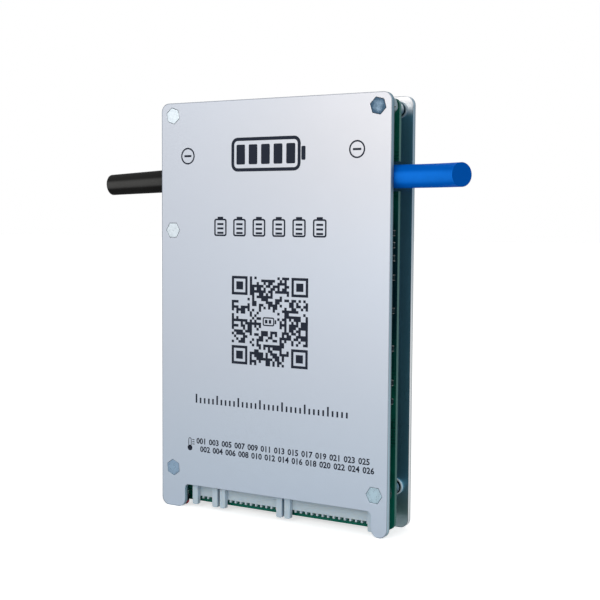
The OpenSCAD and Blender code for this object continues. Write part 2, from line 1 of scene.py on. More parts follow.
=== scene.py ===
# %% [markdown]
# # A battery management board
# Two aluminium plates hold one green circuit board between them, on five screwed pillars. A
# heavy insulated lead leaves each side, and three plug headers look out of a notch at the
# bottom. All the solid shapes are already made, to size, in the frame that is loaded here.
# This lesson gives them their finishes, prints the front plate, adds the small tinned and
# soldered details, and lights the result. Everything is in metres, with Z up.

# %% Load the frame
import math

import bmesh
import bpy
from mathutils import Matrix, Vector


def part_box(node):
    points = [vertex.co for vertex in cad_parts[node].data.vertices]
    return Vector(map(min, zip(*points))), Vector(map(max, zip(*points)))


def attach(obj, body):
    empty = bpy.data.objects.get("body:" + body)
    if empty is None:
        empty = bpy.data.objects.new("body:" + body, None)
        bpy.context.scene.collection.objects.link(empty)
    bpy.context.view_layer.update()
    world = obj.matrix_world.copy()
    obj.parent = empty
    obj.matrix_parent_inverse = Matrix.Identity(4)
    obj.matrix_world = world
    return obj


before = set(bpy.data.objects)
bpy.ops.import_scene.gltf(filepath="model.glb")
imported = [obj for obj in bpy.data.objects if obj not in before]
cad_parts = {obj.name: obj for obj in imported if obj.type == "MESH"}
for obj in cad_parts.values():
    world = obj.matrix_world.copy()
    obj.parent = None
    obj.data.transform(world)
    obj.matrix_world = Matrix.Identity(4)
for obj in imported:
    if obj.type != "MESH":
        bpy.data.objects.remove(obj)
scene = bpy.context.scene
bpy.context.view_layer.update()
MM = 0.001

# %% [markdown]
# The small parts and the patterns take their places from the solids, so a change of size in
# these carries them along. Some solids are sets, such as the five pillars or the eight chips
# along the edge. To find each member, the mesh is copied, its doubled corners are merged, and
# the corners that edges join are gathered into one group at a time.

# %% Measure the solids
plate_low, plate_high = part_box("front_plate")
back_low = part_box("back_plate")[0]
board_low, board_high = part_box("circuit_board")


def loose_boxes(node):
    """The lowest and highest corner of each separate solid in a node, from left to right."""
    copy = bmesh.new()
    copy.from_mesh(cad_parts[node].data)
    bmesh.ops.remove_doubles(copy, verts=copy.verts, dist=0.002 * MM)
    waiting = set(copy.verts)
    boxes = []
    while waiting:
        reached = [waiting.pop()]
        corners = []
        while reached:
            corner = reached.pop()
            corners.append(corner.co.copy())
            for edge in corner.link_edges:
                other = edge.other_vert(corner)
                if other in waiting:
                    waiting.remove(other)
                    reached.append(other)
        boxes.append((Vector(map(min, zip(*corners))), Vector(map(max, zip(*corners)))))
    copy.free()
    return sorted(boxes, key=lambda box: (round(box[0].x, 5), round(box[0].z, 5)))


pillars = [(low + high) / 2 for low, high in loose_boxes("rear_spacers")]
edge_chips = loose_boxes("edge_chips")
print(len(pillars), "pillars and", len(edge_chips), "chips along the right edge")

# %% [markdown]
# ## Camera
# The camera stands to the right of the board, level with its upper half, and looks down by
# only a few degrees. Its turn is built from three plain rotations: round the vertical, then
# up or down, then a small roll about the line of sight.

# %% Camera
CAMERA_PLACE = Vector((0.23056, -0.37945, 0.11536))
CAMERA_TURN = math.radians(30.42)
CAMERA_DIP = math.radians(3.912)
CAMERA_ROLL = math.radians(0.37)
LENS = 68.56
SENSOR_WIDTH = 36

camera_data = bpy.data.cameras.new("camera")
camera_data.lens = LENS
camera_data.sensor_width = SENSOR_WIDTH
camera = bpy.data.objects.new("camera", camera_data)
turn = Matrix.Rotation(CAMERA_TURN, 4, "Z") @ Matrix.Rotation(math.pi / 2 - CAMERA_DIP, 4, "X")
roll = Matrix.Rotation(CAMERA_ROLL, 4, "Z")
camera.matrix_world = Matrix.Translation(CAMERA_PLACE) @ turn @ roll
scene.collection.objects.link(camera)
scene.camera = camera
print("camera looks along", [round(v, 3) for v in -camera.matrix_world.col[2].xyz])

# %% [markdown]
# ## Helpers for the finishes
# A finish is a material whose nodes read the object's own coordinates, so that its grain has
# a real size and stays where it is when the camera moves. These helpers keep each finish
# short: some add and wire nodes, the others make the few patterns that come back again and
# again. A value that changes over the surface is wired, and one that doesn't is simply set.

# %% Helpers for nodes


def new_finish(name, **shader_values):
    """A material with one Principled shader; returns the material, its tree and the shader."""
    finish = bpy.data.materials.new(name)
    finish.use_nodes = True
    shader = finish.node_tree.nodes["Principled BSDF"]
    for socket, value in shader_values.items():
        shader.inputs[socket.replace("_", " ")].default_value = value
    return finish, finish.node_tree, shader


def add(tree, kind, values=None, **settings):
    """Adds a node. settings are its own settings, values the numbers or links of its inputs."""
    made = tree.nodes.new(kind)
    for key, value in settings.items():
        setattr(made, key, value)
    for key, value in (values or {}).items():
        if isinstance(value, bpy.types.NodeSocket):
            tree.links.new(value, made.inputs[key])
        else:
            made.inputs[key].default_value = value
    return made


def wire(tree, shader, **patterns):
    """Feeds each pattern to the shader's socket of the same name."""
    for socket, pattern in patterns.items():
        tree.links.new(pattern, shader.inputs[socket.replace("_", " ")])


def calc(tree, operation, first, second=0.0, third=0.0):
    """One step of arithmetic on numbers or sockets."""
    values = {0: first, 1: second, 2: third}
    return add(tree, "ShaderNodeMath", values, operation=operation).outputs[0]


def times(tree, first, second):
    """The product of two numbers or sockets."""
    return calc(tree, "MULTIPLY", first, second)


def scaled(tree, value, factor, start):
    """factor times the value, on top of start."""
    return calc(tree, "MULTIPLY_ADD", value, factor, start)


def place_of(tree):
    """Where a point is on the object: the whole vector, and its x, y and z."""
    spot = add(tree, "ShaderNodeTexCoord").outputs["Object"]
    parts = add(tree, "ShaderNodeSeparateXYZ", {0: spot})
    return spot, parts.outputs[0], parts.outputs[1], parts.outputs[2]


def off_middle(tree, value, middle):
    """How far a value is from the middle, to either side."""
    return calc(tree, "ABSOLUTE", calc(tree, "SUBTRACT", value, middle))


def ramp(tree, value, start, end):
    """0 where value is at start, 1 where it is at end, and smooth between."""
    values = {"Value": value, "From Min": start, "From Max": end}
    made = add(tree, "ShaderNodeMapRange", values, interpolation_type="SMOOTHSTEP")
    return made.outputs["Result"]


# %% Helpers for directions and patterns


def along(tree, normal, direction):
    """How squarely a normal points in a direction, from -1 to 1."""
    dot = add(tree, "ShaderNodeVectorMath", {0: normal, 1: direction}, operation="DOT_PRODUCT")
    return dot.outputs["Value"]


def facing(tree, direction):
    """How squarely the surface faces a direction, from -1 to 1."""
    return along(tree, add(tree, "ShaderNodeNewGeometry").outputs["True Normal"], direction)


def looks_to(tree, direction):
    """1 on the faces that look in a direction, and 0 on those beside them."""
    return ramp(tree, facing(tree, direction), 0.4, 0.6)


def on_sheet(tree):
    """1 on a sheet's front and back, and 0 on its cut edges."""
    return ramp(tree, calc(tree, "ABSOLUTE", facing(tree, (0, 1, 0))), 0.4, 0.6)


def eased_normal(tree, radius, samples=4):
    """The surface's normal as if its sharp edges were rounded to this radius, in metres."""
    return add(tree, "ShaderNodeBevel", {"Radius": radius}, samples=samples).outputs[0]


def speckle(tree, spot, scale, detail=3.0, rough=0.6):
    """Cloudy noise. scale is one number, or three that stretch it along x, y and z."""
    scales = scale if isinstance(scale, tuple) else (scale,) * 3
    mapped = add(tree, "ShaderNodeMapping", {"Vector": spot, "Scale": scales})
    values = {"Vector": mapped.outputs[0], "Scale": 1.0, "Detail": detail, "Roughness": rough}
    return add(tree, "ShaderNodeTexNoise", values).outputs["Fac"]


def mix(tree, share, first, second):
    """first where share is 0 and second where it is 1."""
    made = add(tree, "ShaderNodeMix", data_type="RGBA")
    for socket, value in ((0, share), (6, first), (7, second)):
        if isinstance(value, bpy.types.NodeSocket):
            tree.links.new(value, made.inputs[socket])
        elif socket:
            made.inputs[socket].default_value = (*value, 1.0)
        else:
            made.inputs[socket].default_value = value
    return made.outputs[2]


def between(tree, share, low, high):
    """Turns a share from 0 to 1 into a number from low to high."""
    values = {"Value": share, "To Min": low, "To Max": high}
    return add(tree, "ShaderNodeMapRange", values).outputs["Result"]


def relief(tree, shader, height, depth, softened=None):
    """Raises the surface by depth, in metres, where height is 1."""
    values = {"Height": height, "Distance": depth, "Strength": 1.0}
    if softened:
        values["Normal"] = softened
    wire(tree, shader, Normal=add(tree, "ShaderNodeBump", values).outputs[0])


def wear(finish, *nodes):
    """Gives solids their finish, through their material slots."""
    for node in nodes:
        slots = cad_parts[node].data.materials
        for index in range(len(slots)):
            slots[index] = finish
        if not len(slots):
            slots.append(finish)
    print(finish.name, "on", *nodes)


# %% [markdown]
# ## Metals
# Sheet, turned and plated metals differ in three things: their colour, how rough they are,
# and which way their grain runs. One maker covers the plain ones. Long thin noise gives the
# grain left by rolling, brushing or turning, broad noise gives the handling marks, and a bevel
# node softens the light on sharp edges, as a real edge is never quite sharp.

# %% Metals


def metal(name, colour, tone, rough, grain, grain_depth=0.002, edge=0.15):
    """colour and tone are the metal's brighter and duller colour, rough its two roughnesses."""
    finish, tree, shader = new_finish(name, Metallic=1.0)
    spot = place_of(tree)[0]
    streaks = speckle(tree, spot, grain)
    clouds = speckle(tree, spot, 90, detail=4.0)
    mixed = scaled(tree, streaks, 0.5, times(tree, clouds, 0.5))
    wire(tree, shader, Base_Color=mix(tree, clouds, colour, tone),
         Roughness=between(tree, mixed, *rough))
    relief(tree, shader, streaks, grain_depth * MM, eased_normal(tree, edge * MM))
    return finish


zinc_steel = metal("zinc_plated_steel", (0.62, 0.65, 0.68), (0.5, 0.53, 0.58), (0.22, 0.42), 1500)
pin_tin = metal("pin_tin", (0.82, 0.82, 0.8), (0.7, 0.7, 0.69), (0.2, 0.4), (900, 900, 300))
# The header pins are painted a dark teal: painted shade, for the deep shade they sit in.
shaded_tin = metal("pin_tin_painted_shade", (0.03, 0.12, 0.1), (0.02, 0.09, 0.08), (0.5, 0.7),
                   (900, 900, 300))
solder_tin = metal("solder", (0.78, 0.79, 0.79), (0.6, 0.61, 0.62), (0.18, 0.45), 500,
                   grain_depth=0.02)
bar_copper = metal("bar_copper", (0.86, 0.5, 0.3), (0.66, 0.34, 0.2), (0.22, 0.45),
                   (500, 500, 6000))
block_aluminium = metal("block_aluminium", (0.75, 0.77, 0.79), (0.6, 0.62, 0.65), (0.3, 0.5),
                        (400, 400, 5000))
shunt_alloy = metal("shunt_alloy", (0.5, 0.42, 0.35), (0.38, 0.31, 0.25), (0.3, 0.5),
                    (5000, 500, 500))
shield_tin = metal("shield_tin", (0.76, 0.77, 0.76), (0.62, 0.63, 0.62), (0.2, 0.4),
                   (2500, 400, 400))
wear(zinc_steel, "cover_screws")
wear(pin_tin, "lamp_legs")
wear(shaded_tin, "temperature_pins", "high_cell_pins", "low_cell_pins")
wear(solder_tin, "soldered_core_p", "soldered_core_b")
wear(bar_copper, "copper_bar_p", "copper_bar_b")
wear(block_aluminium, "heat_block_p", "heat_block_b")
wear(shunt_alloy, "shunt_1", "shunt_2", "shunt_3", "shunt_4")
wear(shield_tin, "radio_shield", "crystal")

# %% [markdown]
# The front plate is satin anodised: a slightly blue grey, with no shine that shows a clear
# reflection. Its colour is painted light: bluer at the foot, and more neutral and darker at
# the top right, where the lamp's highlight falls. The back plate is the same sheet left as it
# was rolled, so it is smoother. Its colour is painted light too, and a painted blue-green
# reflection tint covers its inner face, where the metal is partly dull, except near the foot
# and the top. Both were sheared and deburred. The cut edge's tone changes with height, as a
# painted reflection, and its rear half is darker. A thin dark line all round the face is
# painted shade for the edge's dark reflection. The line is found from how near a point is to
# the plate's outline, a rounded rectangle.

# %% The line round a plate
PLATE_CORNER = 3.4 * MM
LINE_START = 0.2 * MM
LINE_END = 0.36 * MM


def inside_outline(tree, x, z, low, high, corner):
    """How far inside a rounded rectangle a point lies, in metres."""
    past = []
    for value, start, end in ((x, low.x, high.x), (z, low.z, high.z)):
        past.append(calc(tree, "SUBTRACT", off_middle(tree, value, (start + end) / 2),
                         (end - start) / 2 - corner))
    straight = calc(tree, "MAXIMUM", *past)
    corner_x, corner_z = (calc(tree, "MAXIMUM", value, 0.0) for value in past)
    square = times(tree, corner_z, corner_z)
    square = scaled(tree, corner_x, corner_x, square)
    outside = calc(tree, "MAXIMUM", calc(tree, "SQRT", square), straight)
    return calc(tree, "SUBTRACT", corner, outside)


def edge_shade_line(tree, x, z, low, high):
    """1 on a thin line all round the face, painted shade for the edge's dark reflection."""
    return ramp(tree, inside_outline(tree, x, z, low, high, PLATE_CORNER), LINE_END, LINE_START)


# %% The two plates
EDGE_EASE = 0.25 * MM
TINT_FADES = ((plate_low.z - 2 * MM, plate_low.z + 20 * MM),
              (plate_high.z - 4 * MM, plate_high.z - 8 * MM))


def face_colour(tree, x, z, low, high, skins):
    """The face's colour, a painted light gradient. skins are its colours at the foot, in the
    middle and at the top right."""
    middle = (low.z + high.z) / 2
    skin = mix(tree, ramp(tree, z, low.z, middle), skins[0], skins[1])
    right = between(tree, ramp(tree, x, low.x, high.x), 0.35, 1.0)
    upper = times(tree, ramp(tree, z, middle, high.z - 8 * MM), right)
    return mix(tree, upper, skin, skins[2])


def edge_colour(tree, y, z, low, high, edges, fade):
    """The cut edge's colour, a painted reflection that changes with height. edges are its colours
    where fade starts and where it ends, and its rear half is darker."""
    # The edge's tone with height is a painted reflection.
    edge = mix(tree, ramp(tree, z, *fade), *edges)
    behind = ramp(tree, y, (low.y + high.y) / 2, high.y)
    return mix(tree, times(tree, behind, 0.6), edge, (0.05, 0.09, 0.11))


def sheet_metal(name, node, skins, edges, fade, rough, grain_depth, reflection_tint=None):
    """Rolled sheet with fine upright grain. A painted reflection tint, if given, covers the face
    to -Y and dulls its metal.
    """
    finish, tree, shader = new_finish(name, Metallic=1.0)
    spot, x, y, z = place_of(tree)
    low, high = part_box(node)
    grain = speckle(tree, spot, (9000, 9000, 260), detail=2.0)
    clouds = speckle(tree, spot, 28, detail=4.0, rough=0.55)

    skin = face_colour(tree, x, z, low, high, skins)
    skin = mix(tree, times(tree, clouds, 0.06), skin, (0.0, 0.0, 0.0))
    # The inner face gets a painted blue-green reflection tint, faded out near the foot and the
    # top.
    if reflection_tint:
        inner = looks_to(tree, (0, -1, 0))
        for start, end in TINT_FADES:
            inner = times(tree, inner, ramp(tree, z, start, end))
        skin = mix(tree, inner, skin, reflection_tint)
        skin = mix(tree, looks_to(tree, (0, 1, 0)), skin, skins[2])
        shader.inputs["Specular IOR Level"].default_value = 0.1
        wire(tree, shader, Metallic=scaled(tree, inner, -0.25, 1.0))
    # A thin dark line round the face: painted shade for the edge's dark reflection.
    line = times(tree, edge_shade_line(tree, x, z, low, high), 0.6)
    skin = mix(tree, line, skin, (0.1, 0.13, 0.17))
    edge = edge_colour(tree, y, z, low, high, edges, fade)

    on_face = on_sheet(tree)
    mixed = scaled(tree, grain, 0.35, times(tree, clouds, 0.65))
    duller = calc(tree, "SUBTRACT", 1.0, on_face)
    dull = scaled(tree, duller, 0.15, between(tree, mixed, *rough))
    wire(tree, shader, Base_Color=mix(tree, on_face, edge, skin), Roughness=dull)
    relief(tree, shader, grain, grain_depth * MM, eased_normal(tree, EDGE_EASE, samples=6))
    return finish


# The skins and edges are painted light and painted reflection, not the anodising's own colour.
satin_anodised = sheet_metal(
    "satin_anodised_plate", "front_plate",
    skins=((0.585, 0.675, 0.79), (0.602, 0.657, 0.75), (0.565, 0.58, 0.63)),
    edges=((0.46, 0.62, 0.7), (0.17, 0.27, 0.34)), fade=(-5 * MM, 165 * MM),
    rough=(0.38, 0.5), grain_depth=0.0012)
# The skins and edges are painted light and painted reflection, and the last colour is a painted
# blue-green reflection tint.
bare_rolled = sheet_metal(
    "bare_rolled_plate", "back_plate",
    skins=((0.76, 0.94, 0.98), (0.64, 0.76, 0.82), (0.7, 0.71, 0.74)),
    edges=((0.92, 0.96, 0.97), (0.22, 0.32, 0.4)), fade=(60 * MM, 140 * MM),
    rough=(0.24, 0.34), grain_depth=0.0006, reflection_tint=(0.12, 0.34, 0.48))
wear(satin_anodised, "front_plate")
wear(bare_rolled, "back_plate")

# %% [markdown]
# The pillars are self-clinching standoffs: their hexagon heads were pressed flush into the
# front plate. Zinc plating gives them a cold blue-grey, and each head's colours are a painted
# reflection: two are painted bright, one pale, one steel blue, and one upper head nearly
# black. Each head's own two colours are chosen by how far a point lies from that pillar's
# axis: a painted highlight in the middle and painted shade towards the rim. Behind the plate
# the barrels carry painted glints and dark reflections, and are painted lighter towards the top.

# %% The pressed hexagon heads
# Each head's pair of colours, bright in the middle and dull at the rim, is painted reflection and
# painted shade.
BRIGHT_HEAD = ((0.8, 0.88, 0.95), (0.76, 0.85, 0.92))
STEEL_HEAD = ((0.37, 0.53, 0.7), (0.33, 0.47, 0.63))
PALE_HEAD = ((0.56, 0.75, 0.86), (0.52, 0.69, 0.79))
DARK_HEAD = ((0.17, 0.25, 0.34), (0.045, 0.085, 0.135))
HEAD_MIDDLE = 1.0 * MM
HEAD_RIM = 2.9 * MM
HEAD_REACH = 4.2 * MM
left = [pillar for pillar in pillars if pillar.x < 0]
right = [pillar for pillar in pillars if pillar.x > 0]
heads = [(left[0], STEEL_HEAD), (left[1], BRIGHT_HEAD), (left[2], BRIGHT_HEAD),
         (right[0], PALE_HEAD), (right[1], DARK_HEAD)]


def distance_from(tree, x, z, pillar):
    """How far a point lies from a pillar's axis, in metres."""
    flat = add(tree, "ShaderNodeCombineXYZ", {0: x, 2: z}).outputs[0]
    return add(tree, "ShaderNodeVectorMath", {0: flat, 1: (pillar.x, 0, pillar.z)},
               operation="DISTANCE").outputs["Value"]


def barrel_colour(tree, spot, z):
    """The barrels' colour behind the plate: painted glints and dark reflections, painted lighter
    towards the top.
    """
    glint_patches = ramp(tree, speckle(tree, spot, 900, detail=2.0), 0.44, 0.56)
    higher = ramp(tree, z, plate_low.z + 60 * MM, plate_high.z)
    painted_shine = mix(tree, higher, (0.34, 0.62, 0.66), (0.95, 1.0, 1.0))
    return mix(tree, glint_patches, (0.03, 0.09, 0.1), painted_shine)


def head_finish():
    finish, tree, shader = new_finish("clinched_hexagon_heads", Metallic=1.0)
    spot, x, y, z = place_of(tree)
    clouds = ramp(tree, speckle(tree, spot, 620, detail=5.0, rough=0.7), 0.36, 0.64)
    worn = times(tree, clouds, 0.55)
    colour = PALE_HEAD[0]
    for pillar, (bright, dull) in heads:
        away = distance_from(tree, x, z, pillar)
        # Towards the rim: wear and painted shade. The middle keeps a painted highlight.
        rim = calc(tree, "ADD", worn, ramp(tree, away, HEAD_MIDDLE, HEAD_RIM))
        own = mix(tree, calc(tree, "MINIMUM", rim, 1.0), bright, dull)
        here = ramp(tree, away, HEAD_REACH, HEAD_REACH - 0.2 * MM)
        colour = mix(tree, here, colour, own)
    behind = ramp(tree, y, plate_high.y - 0.1 * MM, plate_high.y)
    wire(tree, shader, Base_Color=mix(tree, behind, colour, barrel_colour(tree, spot, z)),
         Metallic=scaled(tree, behind, -0.6, 1.0),
         Roughness=between(tree, clouds, 0.24, 0.42))
    relief(tree, shader, clouds, 0.008 * MM, eased_normal(tree, 0.2 * MM))
    return finish


wear(head_finish(), "front_pillars")

# %% [markdown]
# Behind the board, each pillar goes on as a turned spacer. Its body is painted a darker grey,
# as a painted dark reflection. The groove in front of its flange is painted dark as shade, and
# the painted shade reaches part of the way out over the flange. The flange's rim has a
# painted highlight, and on the upper two the highlight is weaker and the shade lighter.

# %% The turned spacers
FLANGE = 0.9 * MM
GROOVE = 1.0 * MM
SHADE_REACH = 2.7 * MM
UPPER_START = board_high.z - 12 * MM
UPPER_END = board_high.z - 9 * MM
flange_front = back_low.y - FLANGE


def nearest_axis(tree, x, z):
    """How far a point lies from the nearest pillar's axis, in metres."""
    nearest = 1.0
    for pillar in pillars:
        nearest = calc(tree, "MINIMUM", nearest, distance_from(tree, x, z, pillar))
    return nearest


def spacer_finish():
    finish, tree, shader = new_finish("turned_steel")
    spot, x, y, z = place_of(tree)
    turned = speckle(tree, spot, (300, 9000, 300))
    upper = ramp(tree, z, UPPER_START, UPPER_END)
    groove_start = flange_front - GROOVE
    groove_shade = ramp(tree, y, groove_start - 0.25 * MM, groove_start)
    # A darker grey body: a painted dark reflection.
    body = mix(tree, turned, (0.36, 0.43, 0.47), (0.26, 0.33, 0.37))
    # Painted shade in the groove and on the flange's inner part, lighter on the upper two.
    groove_shade_colour = mix(tree, upper, (0.006, 0.03, 0.045), (0.04, 0.09, 0.13))
    # A painted highlight on the flange's rim, weaker on the upper two.
    rim = mix(tree, upper, (0.82, 0.95, 1.0), (0.3, 0.38, 0.43))
    on_flange = ramp(tree, y, flange_front - 0.12 * MM, flange_front - 0.06 * MM)
    past_shade = ramp(tree, nearest_axis(tree, x, z), SHADE_REACH, SHADE_REACH + 0.15 * MM)
    shining = times(tree, on_flange, past_shade)
    skin = mix(tree, groove_shade, body, groove_shade_colour)
    wire(tree, shader, Base_Color=mix(tree, shining, skin, rim),
         Metallic=scaled(tree, shining, -0.7, 1.0),
         Roughness=scaled(tree, groove_shade, 0.15, between(tree, turned, 0.25, 0.4)))
    relief(tree, shader, turned, 0.002 * MM)
    return finish


wear(spacer_finish(), "rear_spacers")

# %% [markdown]
# ## Circuit board
# A board is glass cloth in green resin, copper tracks, and a thin green lacquer over both.
# The tracks show as slightly raised lines. Square contours round scattered points make lines
# that run and turn as tracks do. The lacquer is painted lighter at the foot, as painted light,
# and darker in a band at mid height, as painted shade between the plates. Bare tinned rings
# surround the pillars, widest at the top; their tin is painted bright near the top, as painted
# light, and dark lower down, as painted shade. The sawn edge shows the pale laminate inside.
# The radio's board is blue.

# %% Tracks and tinned rings
RING_REACH = 4.35 * MM
RING_TOP_START = board_high.z - 5.2 * MM
RING_TOP_END = board_high.z - 3.8 * MM


def shaded(colour, *shares):
    """A colour with its red, green and blue multiplied by one share, or by one each."""
    return [part * share for part, share in zip(colour, shares * (3 // len(shares)))]


def track_lines(tree, spot):
    """1 on the copper: thin lines that turn squarely, and some broad poured areas."""
    cells = add(tree, "ShaderNodeTexVoronoi", {"Vector": spot, "Scale": 95.0},
                distance="CHEBYCHEV")
    contour = calc(tree, "FRACT", times(tree, cells.outputs["Distance"], 9.0))
    line = ramp(tree, off_middle(tree, contour, 0.5), 0.2, 0.14)
    poured = ramp(tree, speckle(tree, spot, 60, detail=1.0), 0.5, 0.54)
    return calc(tree, "MAXIMUM", line, poured)


def tinned_ring(tree, x, z):
    """1 on the ring round each pillar, and the ring's colour, painted light near the top and
    painted shade lower down.
    """
    near_top = ramp(tree, z, RING_TOP_START, RING_TOP_END)
    wider = times(tree, near_top, 0.5 * MM)
    reach = calc(tree, "SUBTRACT", nearest_axis(tree, x, z), wider)
    # The tin is painted bright near the top, as painted light, and dark lower down, as painted
    # shade.
    tin = mix(tree, near_top, (0.08, 0.16, 0.16), (0.5, 0.62, 0.68))
    return ramp(tree, reach, RING_REACH, RING_REACH - 0.15 * MM), tin


# %% Circuit board
SHADE_BAND_HEIGHT = board_low.z + 0.58 * (board_high.z - board_low.z)


def lacquer_colour(tree, z, tracks, grime, lacquer, track):
    """The lacquer over bare laminate and over copper, with its grime, a painted shade band at mid
    height and painted light at the foot.
    """
    green = mix(tree, tracks, lacquer, track)
    green = mix(tree, times(tree, grime, 0.3), green, (0.0, 0.02, 0.015))
    # A painted shade band at mid height.
    shade_band = ramp(tree, off_middle(tree, z, SHADE_BAND_HEIGHT), 40 * MM, 10 * MM)
    green = mix(tree, shade_band, green, shaded(lacquer, 0.35, 0.35, 0.7))
    # Painted light at the foot.
    foot = ramp(tree, z, board_low.z + 30 * MM, board_low.z + 5 * MM)
    return mix(tree, foot, green, shaded(track, 1.4))


def board_finish(name, lacquer, track, laminate):
    finish, tree, shader = new_finish(name, Specular_IOR_Level=0.15)
    spot, x, _, z = place_of(tree)
    on_face = on_sheet(tree)
    tracks = track_lines(tree, spot)
    grime = speckle(tree, spot, 200)
    green = lacquer_colour(tree, z, tracks, grime, lacquer, track)
    weave = speckle(tree, spot, (300, 9000, 300), detail=1.0)
    sawn = mix(tree, weave, laminate, shaded(laminate, 0.6))
    skin = mix(tree, on_face, sawn, green)
    ring, tin = tinned_ring(tree, x, z)
    ring = times(tree, ring, on_face)
    duller = calc(tree, "SUBTRACT", 1.0, on_face)
    gloss = between(tree, grime, 0.2, 0.38)
    wire(tree, shader, Base_Color=mix(tree, ring, skin, tin),
         Metallic=times(tree, ring, 0.3),
         Roughness=scaled(tree, duller, 0.4, gloss))
    raised = calc(tree, "MAXIMUM", tracks, ring)
    relief(tree, shader, times(tree, raised, on_face), 0.03 * MM)
    return finish


green_board = board_finish("green_solder_mask", (0.001, 0.052, 0.038), (0.002, 0.088, 0.06),
                           (0.085, 0.2, 0.185))
blue_board = board_finish("blue_solder_mask", (0.01, 0.04, 0.12), (0.02, 0.07, 0.2),
                          (0.2, 0.25, 0.3))
wear(green_board, "circuit_board")
wear(blue_board, "radio_board")

# %% [markdown]
# ## Plastics
# Moulded plastic has one colour all through, a faint mottle from the mould, and a soft gloss
# that is never quite even. The white headers are nylon, which lets a little light in. Chips
# and transistors are black epoxy with metal legs. In the solids the legs and the case are one
# piece, so a chip's finish turns to tin wherever a point lies outside its case. The choke's
# ferrite, the thermal pads and the edge chips' bodies come from the same maker as the nylon.
# The edge chips' bodies are painted a near black teal, as painted shade.

# %% Moulded plastics


def plastic(name, colour, tone, rough, mottle=900, depth=0.004, **shader_values):
    finish, tree, shader = new_finish(name, **shader_values)
    spot = place_of(tree)[0]
    grain = speckle(tree, spot, mottle, detail=4.0)
    clouds = speckle(tree, spot, 150)
    wire(tree, shader, Base_Color=mix(tree, clouds, colour, tone),
         Roughness=between(tree, grain, *rough))
    relief(tree, shader, grain, depth * MM, eased_normal(tree, 0.12 * MM))
    return finish


header_nylon = plastic("header_nylon", (0.505, 0.61, 0.69), (0.46, 0.56, 0.64), (0.36, 0.52),
                       Subsurface_Weight=0.5, Subsurface_Scale=0.0015,
                       Subsurface_Radius=(0.6, 0.8, 1.0))
ferrite = plastic("ferrite", (0.045, 0.045, 0.05), (0.02, 0.02, 0.024), (0.5, 0.75),
                  mottle=3000, depth=0.02)
pad_silicone = plastic("pad_silicone", (0.42, 0.47, 0.55), (0.34, 0.39, 0.47), (0.6, 0.8),
                       mottle=1500, depth=0.02)
# The edge chips' bodies are painted a near black teal: painted shade.
chip_body_painted_shade = plastic("chip_body_painted_shade", (0.012, 0.03, 0.036), (0.006, 0.02, 0.026), (0.35, 0.5))
wear(header_nylon, "temperature_header", "high_cell_header", "low_cell_header")
wear(pad_silicone, "inner_pad_p", "inner_pad_b", "outer_pad_p", "outer_pad_b")
wear(ferrite, "choke_core")
wear(chip_body_painted_shade, "edge_chips")

# %% Epoxy cases with tinned legs
EPOXY = (0.022, 0.022, 0.025)
SEAM = 0.03 * MM


def cased(name, outside_case, case_colour=EPOXY, rough=(0.42, 0.6)):
    """Black epoxy where outside_case(tree) is 0, and tin where it is 1."""
    finish, tree, shader = new_finish(name)
    spot = place_of(tree)[0]
    grain = speckle(tree, spot, 1800, detail=4.0)
    clouds = speckle(tree, spot, 200)
    bare = outside_case(tree)
    case = mix(tree, clouds, case_colour, shaded(case_colour, 0.55))
    tin = mix(tree, clouds, (0.8, 0.8, 0.79), (0.62, 0.63, 0.63))
    wire(tree, shader, Base_Color=mix(tree, bare, case, tin),
         Metallic=times(tree, bare, 0.95),
         Roughness=scaled(tree, bare, -0.2, between(tree, grain, *rough)))
    relief(tree, shader, grain, 0.008 * MM)
    return finish


def beyond(node, leg):
    """A rule: 1 where a point lies further out than a case whose legs stand out by leg."""
    low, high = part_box(node)
    middle = (low + high) / 2

    def outside_case(tree):
        _, x, _, z = place_of(tree)
        past_x = calc(tree, "SUBTRACT", off_middle(tree, x, middle.x), high.x - middle.x - leg)
        past_z = calc(tree, "SUBTRACT", off_middle(tree, z, middle.z), high.z - middle.z - leg)
        return ramp(tree, calc(tree, "MAXIMUM", past_x, past_z), 0.0, SEAM)

    return outside_case


# %% Chips and transistors
CHIP_LEG = 0.98 * MM
TAB = 1.3 * MM
CASE = 9.2 * MM
LEG_RISE = 0.15 * MM
for node in ("microcontroller", "monitor_chip_1", "monitor_chip_2"):
    wear(cased(node + "_case", beyond(node, CHIP_LEG)), node)
tab_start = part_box("transistor_b_1")[1].x - TAB


def transistor_metal(tree):
    """The tab shows outside the case on one side, and the legs on the other."""
    across = calc(tree, "ABSOLUTE", place_of(tree)[1])
    tab = ramp(tree, across, tab_start, tab_start + SEAM)
    legs = ramp(tree, across, tab_start - CASE, tab_start - CASE - SEAM)
    return calc(tree, "MAXIMUM", tab, legs)


def low_legs(tree):
    """The legs of the small cases lie within a hair of the board's front face."""
    leg_top = board_low.y - LEG_RISE
    return ramp(tree, place_of(tree)[2], leg_top - 0.02 * MM, leg_top)


transistors = [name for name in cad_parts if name.startswith("transistor_")]
wear(cased("transistor_case", transistor_metal), *transistors)
wear(cased("switch_case", low_legs), "balance_switches")
wear(cased("driver_case", low_legs), "gate_drivers")

# %% [markdown]
# The balancing resistors have a black glazed middle and a tinned cap at each end. They stand
# in two level rows, so the caps are found from each row's height. The surge diodes are black
# cases over folded tin feet. The can capacitors are bare aluminium on a black base, and the
# choke is wound with lacquered copper wire: turn on turn, as a wave along the coil's axis.

